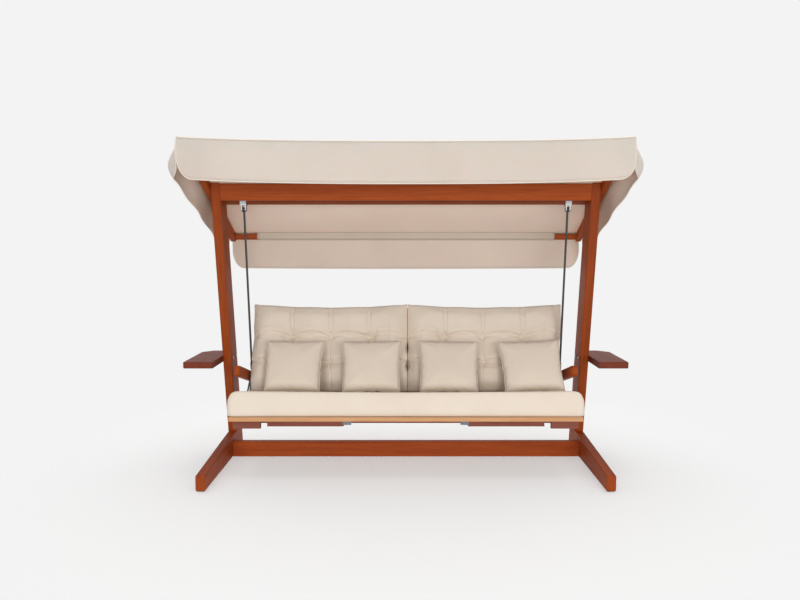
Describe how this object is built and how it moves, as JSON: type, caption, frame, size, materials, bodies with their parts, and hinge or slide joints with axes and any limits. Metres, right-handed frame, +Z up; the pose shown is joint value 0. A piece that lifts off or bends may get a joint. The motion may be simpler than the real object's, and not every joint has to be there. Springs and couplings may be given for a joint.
{
  "type": "canopy swing",
  "caption": "Hardwood garden swing: leaning posts on floor runners carry a sloping canvas canopy, side trays and a cushioned bench hung on steel rods.",
  "frame": {"origin": "on the floor, under the middle of the overall box", "axes": "+X along the bench to the right seen from the front, +Y to the rear, +Z up"},
  "size_m": [2.844, 1.138, 2.0466],
  "materials": {
    "oiled_hardwood": "oiled, satin",
    "pale_hardwood": "oiled, satin",
    "canvas": "woven, matt",
    "cushion_cotton": "woven, matt",
    "black_steel": "powder coated, satin",
    "zinc_steel": "zinc plated",
    "nylon": "moulded",
    "glide_rubber": "moulded, matt"
  },
  "bodies": {
    "stand": {"bracket_screws": "zinc_steel", "canopy_front_bar": "oiled_hardwood", "canopy_rear_bar": "oiled_hardwood", "canopy_top": "canvas", "foot_glides": "glide_rubber", "frame_bolts": "zinc_steel", "front_valance": "canvas", "hanger_beam": "oiled_hardwood", "hanger_pins": "zinc_steel", "left_canopy_arm": "oiled_hardwood", "left_hanger_bracket": "zinc_steel", "left_post": "oiled_hardwood", "left_runner": "oiled_hardwood", "left_side_flap": "canvas", "left_tray": "oiled_hardwood", "lower_stretcher": "oiled_hardwood", "rear_bar_sleeve": "canvas", "rear_valance": "canvas", "right_canopy_arm": "oiled_hardwood", "right_hanger_bracket": "zinc_steel", "right_post": "oiled_hardwood", "right_runner": "oiled_hardwood", "right_side_flap": "canvas", "right_tray": "oiled_hardwood", "top_beam": "oiled_hardwood", "tray_bolts": "zinc_steel"},
    "bench": {"left_hanger_rod": "black_steel", "right_hanger_rod": "black_steel", "rod_bushes": "nylon", "left_arm": "oiled_hardwood", "right_arm": "oiled_hardwood", "arm_spacers": "oiled_hardwood", "arm_bolts": "zinc_steel", "left_stay": "black_steel", "right_stay": "black_steel", "stay_bolts": "zinc_steel", "seat_front_rail": "pale_hardwood", "seat_rear_rail": "oiled_hardwood", "left_seat_rail": "oiled_hardwood", "right_seat_rail": "oiled_hardwood", "seat_centre_rail": "oiled_hardwood", "seat_slats": "oiled_hardwood", "front_blocks": "oiled_hardwood", "front_boards": "oiled_hardwood", "board_angles": "zinc_steel", "back_stiles": "oiled_hardwood", "back_rails": "oiled_hardwood", "back_slats": "oiled_hardwood", "seat_cushion": "cushion_cotton", "left_back_cushion": "cushion_cotton", "right_back_cushion": "cushion_cotton", "cushion_buttons": "cushion_cotton", "pillow_1": "cushion_cotton", "pillow_2": "cushion_cotton", "pillow_3": "cushion_cotton", "pillow_4": "cushion_cotton"}
  },
  "joints": [
    {"name": "bench_swing", "type": "hinge", "parent": "stand", "child": "bench", "pos_m": [0, 0.05379, 1.678], "axis": [1, 0, 0], "range_deg": [-18, 18]}
  ]
}
